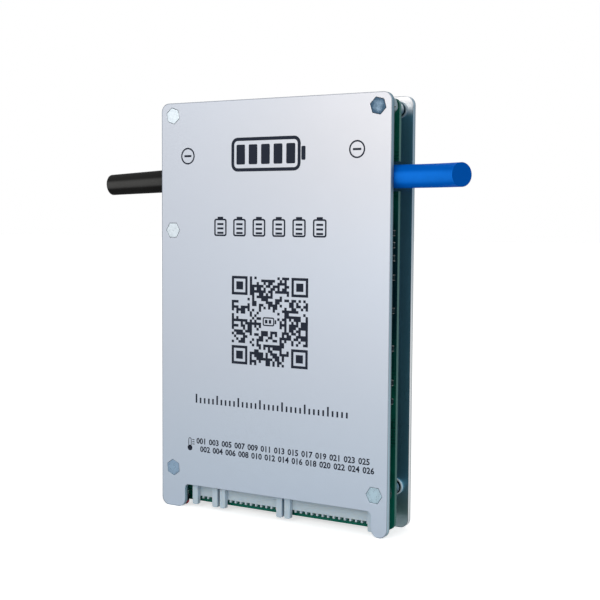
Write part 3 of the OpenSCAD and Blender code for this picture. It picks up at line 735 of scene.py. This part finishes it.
# %% Resistors and diodes
RESISTOR_CAP = 0.7 * MM
DIODE_FOOT = 0.68 * MM
resistors = loose_boxes("balance_resistors")
row_heights = sorted({round((low.z + high.z) / 2, 5) for low, high in resistors})
cap_start = (resistors[0][1].z - resistors[0][0].z) / 2 - RESISTOR_CAP
diode_low, diode_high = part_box("surge_diodes")
diode_middle = (diode_low.z + diode_high.z) / 2
foot_start = diode_high.z - diode_middle - DIODE_FOOT


def resistor_caps(tree):
    z = place_of(tree)[3]
    rows = [off_middle(tree, z, height) for height in (row_heights[0], row_heights[-1])]
    return ramp(tree, calc(tree, "MINIMUM", *rows), cap_start, cap_start + 0.05 * MM)


def diode_feet(tree):
    away = off_middle(tree, place_of(tree)[3], diode_middle)
    return ramp(tree, away, foot_start, foot_start + SEAM)


wear(cased("resistor_glaze", resistor_caps, (0.02, 0.02, 0.022), (0.25, 0.4)),
     "balance_resistors")
wear(cased("diode_case", diode_feet), "surge_diodes")

# %% Cans and choke
CAN_BASE = 1.2 * MM
WIRE = 0.42 * MM


def can_finish():
    finish, tree, shader = new_finish("bulk_can")
    spot, _, y, _ = place_of(tree)
    base_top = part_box("bulk_capacitors")[0].y + CAN_BASE
    on_can = ramp(tree, y, base_top, base_top + SEAM)
    clouds = speckle(tree, spot, (500, 3000, 500))
    aluminium = mix(tree, clouds, (0.8, 0.81, 0.83), (0.66, 0.68, 0.7))
    wire(tree, shader, Base_Color=mix(tree, on_can, (0.03, 0.03, 0.032), aluminium),
         Metallic=on_can, Roughness=between(tree, clouds, 0.2, 0.42))
    relief(tree, shader, clouds, 0.004 * MM)
    return finish


def wound_finish():
    finish, tree, shader = new_finish("wound_wire", Metallic=0.7)
    spot, _, y, _ = place_of(tree)
    wave = calc(tree, "SINE", times(tree, y, 2 * math.pi / WIRE))
    turns = scaled(tree, wave, 0.5, 0.5)
    wire(tree, shader, Base_Color=mix(tree, turns, (0.12, 0.03, 0.008), (0.62, 0.26, 0.1)),
         Roughness=between(tree, speckle(tree, spot, 600), 0.2, 0.35))
    relief(tree, shader, turns, 0.15 * MM)
    return finish


wear(can_finish(), "bulk_capacitors")
wear(wound_finish(), "choke_coil")

# %% [markdown]
# ## The two leads
# Each lead is stranded copper in a thick silicone jacket, black on one side and blue on the
# other. Silicone has a satin skin with faint lines along its length, left by the die. A painted
# highlight makes it paler along the band that faces the light, and painted shade darkens the
# flanks above and below. Where it was cut, the end is duller and darker. The end faces are
# picked out by the way they face.

# %% The lead jackets
BLUE_BEND = math.radians(29.5)


def jacket(name, colour, flanks, cut_colour, end_direction, brightest, band):
    """flanks are the painted shade colours below and above the painted highlight band that looks
    towards brightest.
    """
    finish, tree, shader = new_finish(name, Specular_IOR_Level=0.01)
    spot = place_of(tree)[0]
    lines = speckle(tree, spot, (60, 2600, 2600), detail=2.0)
    clouds = speckle(tree, spot, 160)
    cut = ramp(tree, facing(tree, end_direction), 0.93, 0.97)
    normal = eased_normal(tree, 0.5 * MM)
    # Painted shade on the flanks, and a painted highlight along the band that looks towards
    # brightest.
    flank = mix(tree, ramp(tree, along(tree, normal, (0, 0, 1)), -0.3, 0.3), *flanks)
    skin = mix(tree, ramp(tree, along(tree, normal, brightest), *band), flank, colour)
    skin = mix(tree, times(tree, clouds, 0.15), skin, (0.0, 0.0, 0.0))
    wire(tree, shader, Base_Color=mix(tree, cut, skin, cut_colour),
         Roughness=scaled(tree, cut, 0.2, between(tree, lines, 0.36, 0.5)))
    relief(tree, shader, lines, 0.006 * MM, normal)
    return finish


black_silicone = jacket(
    "black_silicone", (0.07, 0.07, 0.07), flanks=((0.014, 0.014, 0.014), (0.02, 0.02, 0.02)),
    cut_colour=(0.036, 0.036, 0.036), end_direction=(-1.0, 0.0, 0.0),
    brightest=(0.0, -1.0, -0.08), band=(0.9, 1.0))
blue_silicone = jacket(
    "blue_silicone", (0.007, 0.19, 0.81), flanks=((0.0, 0.13, 0.64), (0.0, 0.112, 0.55)),
    cut_colour=(0.0, 0.075, 0.37), end_direction=(math.cos(BLUE_BEND), -math.sin(BLUE_BEND), 0.0),
    brightest=(-0.2, -0.96, -0.15), band=(0.76, 0.98))
wear(black_silicone, "lead_p")
wear(blue_silicone, "lead_b")

# %% [markdown]
# The status lamp is a clear red moulding. Most of the light goes through it, so it is glass
# with a strong tint, and a trace of cloudiness keeps it from going black on the inside. Only
# its dome is clear. Above the dome the lens is painted near black and opaque, as painted shade.

# %% The status lamp
DOME = 1.6 * MM


def lens_finish():
    finish, tree, shader = new_finish("red_lens", IOR=1.49)
    spot, _, _, z = place_of(tree)
    clouds = speckle(tree, spot, 700)
    dome_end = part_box("status_lamp")[0].z + DOME
    # Above the dome the lens is painted near black and opaque: painted shade.
    above_dome = ramp(tree, z, dome_end, dome_end + 0.15 * MM)
    red = mix(tree, clouds, (0.75, 0.06, 0.1), (0.55, 0.03, 0.07))
    dull = scaled(tree, above_dome, 0.35, between(tree, clouds, 0.08, 0.16))
    wire(tree, shader, Base_Color=mix(tree, above_dome, red, (0.006, 0.01, 0.018)),
         Transmission_Weight=between(tree, above_dome, 0.55, 0.0), Roughness=dull)
    return finish


wear(lens_finish(), "status_lamp")

# %% [markdown]
# ## The print on the front plate
# The plate is screen printed in dark ink. Each mark is cut out of a thin slab that stands a
# few hundredths of a millimetre proud of the metal, so that it never flickers against it.
# Marks are plain signs: minus signs by the leads, a battery, six cells, a scale of ticks, a
# thermometer, numbers over the headers, and a panel of blocks. They keep to a drawing board in
# millimetres, with x across the plate and z up it, so their sizes are easy to read.

# %% A drawing board for flat marks
INK_UP = 0.02 * MM
INK_DOWN = 0.01 * MM
face_y = plate_low.y


def show(mesh, name, finish):
    """Puts a finished mesh in the scene, at the origin, riding on the board's one body."""
    mesh.materials.clear()
    mesh.materials.append(finish)
    piece = bpy.data.objects.new(name, mesh)
    scene.collection.objects.link(piece)
    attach(piece, "root")
    print(name, "has", len(mesh.polygons), "faces")
    return piece


class Print:
    """Collects closed slabs on the plate's face, from outlines in millimetres."""

    def __init__(self):
        self.mesh = bmesh.new()

    def rings(self, outline, x, z):
        """The corners of an outline, on the ink's front and on its rear."""
        return [[self.mesh.verts.new(((x + a) * MM, y, (z + b) * MM)) for a, b in outline]
                for y in (face_y - INK_UP, face_y + INK_DOWN)]

    def join(self, first, second):
        """A wall between two rings of corners."""
        for i in range(len(first)):
            j = (i + 1) % len(first)
            self.mesh.faces.new((first[i], first[j], second[j], second[i]))

    def slab(self, outline, x, z):
        """A filled shape."""
        front, rear = self.rings(outline, x, z)
        self.mesh.faces.new(front)
        self.mesh.faces.new(rear[::-1])
        self.join(rear, front)

    def frame(self, outer, inner, x, z):
        """The space between two outlines with as many points each."""
        front, rear = self.rings(outer, x, z)
        inner_front, inner_rear = self.rings(inner, x, z)
        self.join(front, inner_front)
        self.join(inner_front, inner_rear)
        self.join(inner_rear, rear)
        self.join(rear, front)

    def finished(self, name, finish):
        """Turns the marks into one piece."""
        bmesh.ops.recalc_face_normals(self.mesh, faces=self.mesh.faces)
        mesh = bpy.data.meshes.new(name)
        self.mesh.to_mesh(mesh)
        self.mesh.free()
        show(mesh, name, finish)


# %% Outlines and ink


def rectangle(w, h):
    return [(-w / 2, -h / 2), (w / 2, -h / 2), (w / 2, h / 2), (-w / 2, h / 2)]


def rounded(w, h, r, steps=5):
    """A rectangle with quarter circles at its corners."""
    points = []
    for quarter, (sx, sz) in enumerate(((1, -1), (1, 1), (-1, 1), (-1, -1))):
        for step in range(steps + 1):
            angle = math.radians(90 * quarter - 90 + 90 * step / steps)
            points.append((sx * (w / 2 - r) + r * math.cos(angle),
                           sz * (h / 2 - r) + r * math.sin(angle)))
    return points


def circle(r, steps=28):
    return [(r * math.cos(2 * math.pi * i / steps), r * math.sin(2 * math.pi * i / steps))
            for i in range(steps)]


def ink_finish():
    finish, tree, shader = new_finish("navy_ink", Specular_IOR_Level=0.12)
    grain = speckle(tree, place_of(tree)[0], 2600, detail=4.0)
    wire(tree, shader, Base_Color=mix(tree, grain, (0.008, 0.012, 0.024), (0.02, 0.027, 0.045)),
         Roughness=between(tree, grain, 0.5, 0.7))
    relief(tree, shader, grain, 0.004 * MM)
    return finish


ink = ink_finish()
print(ink.name, "stands", round(INK_UP / MM, 3), "mm proud of the plate")

# %% Minus signs, battery, cells and thermometer
LEAD_SIGNS = ((-38.2, 141.0), (37.2, 141.8))
BATTERY_X, BATTERY_Z = -2.0, 141.0
BARS, BAR_STEP = 5, 5.6
CELLS, CELL_START, CELL_STEP, CELL_Z = 6, -22.6, 8.9, 113.0
LINE_STEP = 1.7
BULB_X, BULB_Z = -37.2, 24.6
TICKS, TICK_START, TICK_STEP, TICK_Z = 35, -34.0, 2.0, 43.0

signs = Print()
for x, z in LEAD_SIGNS:
    signs.frame(circle(3.3), circle(2.7), x, z)
    signs.slab(rectangle(3.4, 0.8), x, z)

signs.frame(rounded(31, 13.0, 2.8), rounded(28.4, 10.4, 1.5), BATTERY_X, BATTERY_Z)
signs.slab(rounded(1.8, 5.2, 0.5), BATTERY_X + 16.7, BATTERY_Z)
for i in range(BARS):
    signs.slab(rounded(3.9, 7.6, 0.5), BATTERY_X + (i - BARS // 2) * BAR_STEP, BATTERY_Z)

for i in range(CELLS):
    x = CELL_START + i * CELL_STEP
    signs.frame(rounded(5.8, 6.8, 0.9), rounded(4.5, 5.5, 0.4), x, CELL_Z)
    signs.slab(rectangle(2.6, 0.8), x, CELL_Z + 3.75)
    for row in (-1, 0, 1):
        signs.slab(rectangle(2.9, 0.8), x, CELL_Z - 0.4 + row * LINE_STEP)

signs.slab(circle(1.15), BULB_X, BULB_Z)
signs.frame(rounded(1.5, 3.6, 0.7), rounded(0.9, 3.0, 0.4), BULB_X, BULB_Z + 2.3)
for i in range(3):
    signs.slab(rectangle(1.1, 0.3), BULB_X + 1.7, BULB_Z + 1.6 + i * 0.9)

for i in range(TICKS):
    tall = 3.6 if i % 5 == 0 else 2.2
    signs.slab(rectangle(0.75, tall), TICK_START + TICK_STEP * i, TICK_Z + tall / 2)
signs.finished("printed_signs", ink)

# %% [markdown]
# Numbers are set as text, which Blender keeps as curves. Each label is made a mesh first and
# then turned to stand on the plate's face, so that the finished object itself stays unturned.
# They stand in two rows, and the lower row is set between the numbers of the upper one.

# %% Numbers over the headers
NUMBER_HEIGHT = 2.3
NUMBER_PAIRS = 13
NUMBER_STEP = 6.08
NUMBER_ROWS = ((-31.6, 27.6), (-29.8, 24.4))
ink_middle = face_y + (INK_DOWN - INK_UP) / 2
upright = Matrix.Rotation(math.pi / 2, 4, "X")
labels = bmesh.new()


def print_label(words, x, z):
    """Adds one centred label at x and z."""
    curve = bpy.data.curves.new("label", "FONT")
    curve.body = words
    curve.size = NUMBER_HEIGHT * 1.4 * MM
    curve.align_x = "CENTER"
    curve.align_y = "CENTER"
    curve.extrude = (INK_UP + INK_DOWN) / 2
    curve.offset = NUMBER_HEIGHT * 0.038 * MM
    curve.resolution_u = 2
    setter = bpy.data.objects.new("label", curve)
    flat = bpy.data.meshes.new_from_object(setter)
    flat.transform(Matrix.Translation((x * MM, ink_middle, z * MM)) @ upright)
    labels.from_mesh(flat)
    bpy.data.objects.remove(setter)
    bpy.data.meshes.remove(flat)


for i in range(NUMBER_PAIRS):
    for row, (start, z) in enumerate(NUMBER_ROWS):
        print_label(f"{2 * i + row + 1:03d}", start + i * NUMBER_STEP, z)
label_mesh = bpy.data.meshes.new("printed_numbers")
labels.to_mesh(label_mesh)
labels.free()
show(label_mesh, "printed_numbers", ink)

# %% [markdown]
# ## What repeats: Geometry Nodes
# The panel of blocks, the tinned ends of the chips, the solder under the pins and the rings
# of plated holes all repeat one small shape. A node tree says the rule once, with its sizes
# as named inputs. The result is made a plain mesh, because only real faces leave Blender.

# %% Helpers for node trees


def new_tree(name, **sizes):
    """An empty geometry tree whose inputs are a mesh and the named sizes."""
    tree = bpy.data.node_groups.new(name, "GeometryNodeTree")
    tree.interface.new_socket("Geometry", in_out="INPUT", socket_type="NodeSocketGeometry")
    for label, kind in sizes.items():
        tree.interface.new_socket(label.replace("_", " "), in_out="INPUT",
                                  socket_type="NodeSocket" + kind)
    tree.interface.new_socket("Geometry", in_out="OUTPUT", socket_type="NodeSocketGeometry")
    return tree, add(tree, "NodeGroupInput").outputs


def set_on(tree, points, shape, **settings):
    """Sets a shape on every point."""
    values = {"Points": points, "Instance": shape, **settings}
    return add(tree, "GeometryNodeInstanceOnPoints", values).outputs[0]


def close_tree(tree, instances, finish):
    """Ends a tree: real faces, then their finish."""
    real = add(tree, "GeometryNodeRealizeInstances", {0: instances}).outputs[0]
    dressed = add(tree, "GeometryNodeSetMaterial", {"Geometry": real, "Material": finish})
    add(tree, "NodeGroupOutput", {0: dressed.outputs[0]})
    return tree


def grow(name, points, tree, sizes, finish, place=Matrix.Identity(4)):
    """Runs a tree on a cloud of points, and keeps the result as a plain mesh."""
    cloud = bpy.data.meshes.new(name + "_points")
    cloud.from_pydata(points, [], [])
    seed = bpy.data.objects.new(name + "_points", cloud)
    scene.collection.objects.link(seed)
    modifier = seed.modifiers.new("grow", "NODES")
    modifier.node_group = tree
    for item in tree.interface.items_tree:
        if item.in_out == "INPUT" and item.name in sizes:
            modifier[item.identifier] = sizes[item.name]
    ready = seed.evaluated_get(bpy.context.evaluated_depsgraph_get())
    mesh = bpy.data.meshes.new_from_object(ready)
    bpy.data.objects.remove(seed)
    mesh.transform(place)
    return show(mesh, name, finish)


# %% [markdown]
# The panel is a square grid of blocks. A seeded draw leaves about half of them out, and the
# rule clears room at the four corners for square eyes, and in the middle for a small battery.
# Eyes and battery are drawn on the drawing board.

# %% The rule of the panel


def cleared_places(tree, side, given):
    """1 at the grid's corners and in its middle."""
    position = add(tree, "GeometryNodeInputPosition").outputs[0]
    where = add(tree, "ShaderNodeSeparateXYZ", {0: position}).outputs
    far_x, far_y = (calc(tree, "ABSOLUTE", where[axis]) for axis in (0, 1))
    corner, middle = (times(tree, given[key], given["Pitch"])
                      for key in ("Corner", "Middle"))
    inside = calc(tree, "SUBTRACT", times(tree, side, 0.5), corner)
    at_corner = calc(tree, "GREATER_THAN", calc(tree, "MINIMUM", far_x, far_y), inside)
    central = calc(tree, "LESS_THAN", calc(tree, "MAXIMUM", far_x, far_y), middle)
    return calc(tree, "MAXIMUM", at_corner, central)


def panel_rule():
    tree, given = new_tree("block_panel", Blocks="Int", Pitch="Float", Depth="Float",
                           Filled="Float", Corner="Int", Middle="Int", Seed="Int")
    side = times(tree, calc(tree, "SUBTRACT", given["Blocks"], 1.0), given["Pitch"])
    grid = add(tree, "GeometryNodeMeshGrid", {"Size X": side, "Size Y": side,
                                              "Vertices X": given["Blocks"],
                                              "Vertices Y": given["Blocks"]}).outputs[0]
    chance = add(tree, "FunctionNodeRandomValue", {"Probability": given["Filled"],
                                                   "Seed": given["Seed"]},
                 data_type="BOOLEAN").outputs[3]
    kept = calc(tree, "SUBTRACT", chance, cleared_places(tree, side, given))
    size = add(tree, "ShaderNodeCombineXYZ", {0: given["Pitch"], 1: given["Pitch"],
                                              2: given["Depth"]}).outputs[0]
    block = add(tree, "GeometryNodeMeshCube", {"Size": size}).outputs[0]
    return close_tree(tree, set_on(tree, grid, block,
                                   Selection=calc(tree, "GREATER_THAN", kept, 0.5)), ink)


# %% The panel of blocks
PANEL_SIDE = 34.3
PANEL_BLOCKS = 33
PANEL_Z = 77.15
EYE_BLOCKS = (7, 5, 3)
panel_pitch = PANEL_SIDE / PANEL_BLOCKS
grow("printed_block_panel", [], panel_rule(), {
    "Blocks": PANEL_BLOCKS, "Pitch": panel_pitch * MM, "Depth": INK_UP + INK_DOWN,
    "Filled": 0.52, "Corner": 8, "Middle": 4, "Seed": 7}, ink,
    Matrix.Translation((0, ink_middle, PANEL_Z * MM)) @ upright)

marks = Print()
eye = (PANEL_SIDE - EYE_BLOCKS[0] * panel_pitch) / 2
outer, inner, pupil = (rectangle(n * panel_pitch, n * panel_pitch) for n in EYE_BLOCKS)
for x in (-eye, eye):
    for z in (PANEL_Z - eye, PANEL_Z + eye):
        marks.frame(outer, inner, x, z)
        marks.slab(pupil, x, z)
marks.frame(rounded(5.2, 3.4, 0.7), rounded(4.2, 2.4, 0.3), -0.3, PANEL_Z)
for x, w, h in ((2.85, 0.7, 1.5), (-1.3, 1.1, 1.4), (0.4, 1.1, 1.4)):
    marks.slab(rectangle(w, h), x, PANEL_Z)
marks.finished("printed_panel_corners", ink)

# %% [markdown]
# Small parts are held by solder. A two-ended chip has a bright tinned cap at each end, and
# each pin or leg sits on a tinned pad. All of these are the same small block set on a list of
# places, so one rule makes them. The lists come from the solids measured above.

# %% Tinned caps and solder pads
CAP_LENGTH = 0.38 * MM
CAP_WALL = 0.03 * MM
PIN_PAD = (1.2 * MM, 0.1 * MM, 2.6 * MM)
LEG_PAD = (2.4 * MM, 0.1 * MM, 1.5 * MM)
PAD_SUNK = 0.04 * MM
LEG_PITCH = 2.54 * MM
PIN_INSET = 0.9 * MM
LEG_INSET = 0.9 * MM


def blocks_rule(name, finish):
    tree, given = new_tree(name, Size="Vector")
    block = add(tree, "GeometryNodeMeshCube", {"Size": given["Size"]}).outputs[0]
    return close_tree(tree, set_on(tree, given["Geometry"], block), finish)


cap_places = []
for low, high in edge_chips:
    for z in (low.z + CAP_LENGTH / 2 - CAP_WALL, high.z - CAP_LENGTH / 2 + CAP_WALL):
        cap_places.append(((low.x + high.x) / 2, (low.y + high.y - CAP_WALL) / 2, z))
chip_size = edge_chips[0][1] - edge_chips[0][0]
cap_size = (chip_size.x + 2 * CAP_WALL, chip_size.y + CAP_WALL, CAP_LENGTH)

foot_places = []
for node in ("temperature_pins", "high_cell_pins", "low_cell_pins"):
    for low, high in loose_boxes(node):
        foot_places.append(((low.x + high.x) / 2, high.y - PAD_SUNK, high.z - PIN_INSET))

leg_places = []
for node in transistors:
    low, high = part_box(node)
    tip = low.x + LEG_INSET if low.x > 0 else high.x - LEG_INSET
    for k in (-1, 0, 1):
        leg_places.append((tip, low.y + PAD_SUNK, (low.z + high.z) / 2 + k * LEG_PITCH))

cap_rule = blocks_rule("blocks_on_places", pin_tin)
pad_rule = blocks_rule("solder_on_places", solder_tin)
grow("edge_chip_caps", cap_places, cap_rule, {"Size": cap_size}, pin_tin)
grow("header_pads", foot_places, pad_rule, {"Size": PIN_PAD}, solder_tin)
grow("transistor_pads", leg_places, pad_rule, {"Size": LEG_PAD}, solder_tin)

# %% [markdown]
# Round each pillar, a ring of plated holes ties the copper of the board's two faces together.
# The tree sets a small drum on each corner of a circle, and a circle on each pillar, once for
# the front face and once for the back.

# %% Rings of plated holes
hole_dark = metal("plated_hole", (0.2, 0.17, 0.12), (0.1, 0.09, 0.07), (0.35, 0.5), 900)


def rings_rule():
    tree, given = new_tree("rings_of_holes", Holes="Int", Ring_Radius="Float",
                           Hole_Radius="Float", Depth="Float")
    corners = add(tree, "GeometryNodeMeshCircle", {"Vertices": given["Holes"],
                                                   "Radius": given["Ring Radius"]}).outputs[0]
    drum = add(tree, "GeometryNodeMeshCylinder", {"Vertices": 10, "Radius": given["Hole Radius"],
                                                  "Depth": given["Depth"]}).outputs[0]
    rings = set_on(tree, given["Geometry"], set_on(tree, corners, drum),
                   Rotation=(math.pi / 2, 0.0, 0.0))
    return close_tree(tree, rings, hole_dark)


hole_places = [(pillar.x, y, pillar.z) for pillar in pillars for y in (board_low.y, board_high.y)]
plated_holes = grow("plated_holes", hole_places, rings_rule(), {
    "Holes": 10, "Ring Radius": 3.75 * MM, "Hole Radius": 0.28 * MM, "Depth": 0.05 * MM},
    hole_dark)

# %% [markdown]
# ## Floor, backdrop and light
# The studio is plain: a pale floor, a white backdrop and soft light. Where the camera sees
# the backdrop straight, or in metal or glass, it is white. On everything else it shines at a
# lower, even level, so that colours come out as they were mixed. The floor glows a little,
# but only to the camera: it runs into the backdrop and keeps its shadow, and the glow lights
# nothing.

# %% Floor
FLOOR_REACH = 6.0
FLOOR_GLOW = 0.62


def floor_finish():
    finish, tree, shader = new_finish("pale_floor", Roughness=0.85, Specular_IOR_Level=0.1,
                                      Emission_Color=(1.0, 1.0, 1.0, 1.0))
    clouds = speckle(tree, place_of(tree)[0], 5)
    seen = add(tree, "ShaderNodeLightPath").outputs["Is Camera Ray"]
    wire(tree, shader, Base_Color=mix(tree, clouds, (0.7, 0.71, 0.72), (0.67, 0.68, 0.69)),
         Emission_Strength=times(tree, seen, FLOOR_GLOW))
    return finish


floor_mesh = bpy.data.meshes.new("floor")
floor_mesh.from_pydata([(x * FLOOR_REACH, y * FLOOR_REACH, 0)
                        for x, y in ((-1, -1), (1, -1), (1, 1), (-1, 1))],
                       [], [(0, 1, 2, 3)])
floor_mesh.materials.append(floor_finish())
floor = bpy.data.objects.new("floor", floor_mesh)
scene.collection.objects.link(floor)
print("the floor is", 2 * FLOOR_REACH, "m wide")

# %% Backdrop
EVEN_LIGHT = 0.62
world = bpy.data.worlds.new("studio")
scene.world = world
world.use_nodes = True
sky = world.node_tree
backdrop = sky.nodes["Background"]
ray = add(sky, "ShaderNodeLightPath").outputs
direct = calc(sky, "MAXIMUM", ray["Is Camera Ray"], ray["Is Transmission Ray"])
direct = calc(sky, "MAXIMUM", direct, ray["Is Glossy Ray"])
backdrop.inputs["Color"].default_value = (1.0, 1.0, 1.0, 1.0)
wire(sky, backdrop, Strength=between(sky, direct, EVEN_LIGHT, 1.0))
print("the backdrop lights the board at", EVEN_LIGHT)

# %% [markdown]
# One soft lamp stands in front, above the board, so it lights the plate's upper part most
# and throws the plate's shadow down over the headers. It is a touch warmer than the backdrop.
# A weaker, wider lamp on the right fills the gaps between the plates.

# %% Lamps
BOARD_MIDDLE = Vector((0.0, 0.0, 0.08))


def soft_lamp(name, place, size, watts, colour):
    """A square lamp that faces the middle of the board."""
    data = bpy.data.lights.new(name, "AREA")
    data.shape = "SQUARE"
    data.size = size
    data.energy = watts
    data.color = colour
    lamp = bpy.data.objects.new(name, data)
    aim = (BOARD_MIDDLE - Vector(place)).to_track_quat("-Z", "Y").to_matrix().to_4x4()
    lamp.matrix_world = Matrix.Translation(place) @ aim
    scene.collection.objects.link(lamp)
    print(name, "lamp:", watts, "watts")


soft_lamp("key", (-0.1, -1.05, 0.55), 0.7, 4.8, (1.0, 0.95, 0.88))
soft_lamp("fill", (1.1, -0.5, 0.5), 0.9, 3.0, (0.96, 0.98, 1.0))
scene.view_settings.view_transform = "Standard"
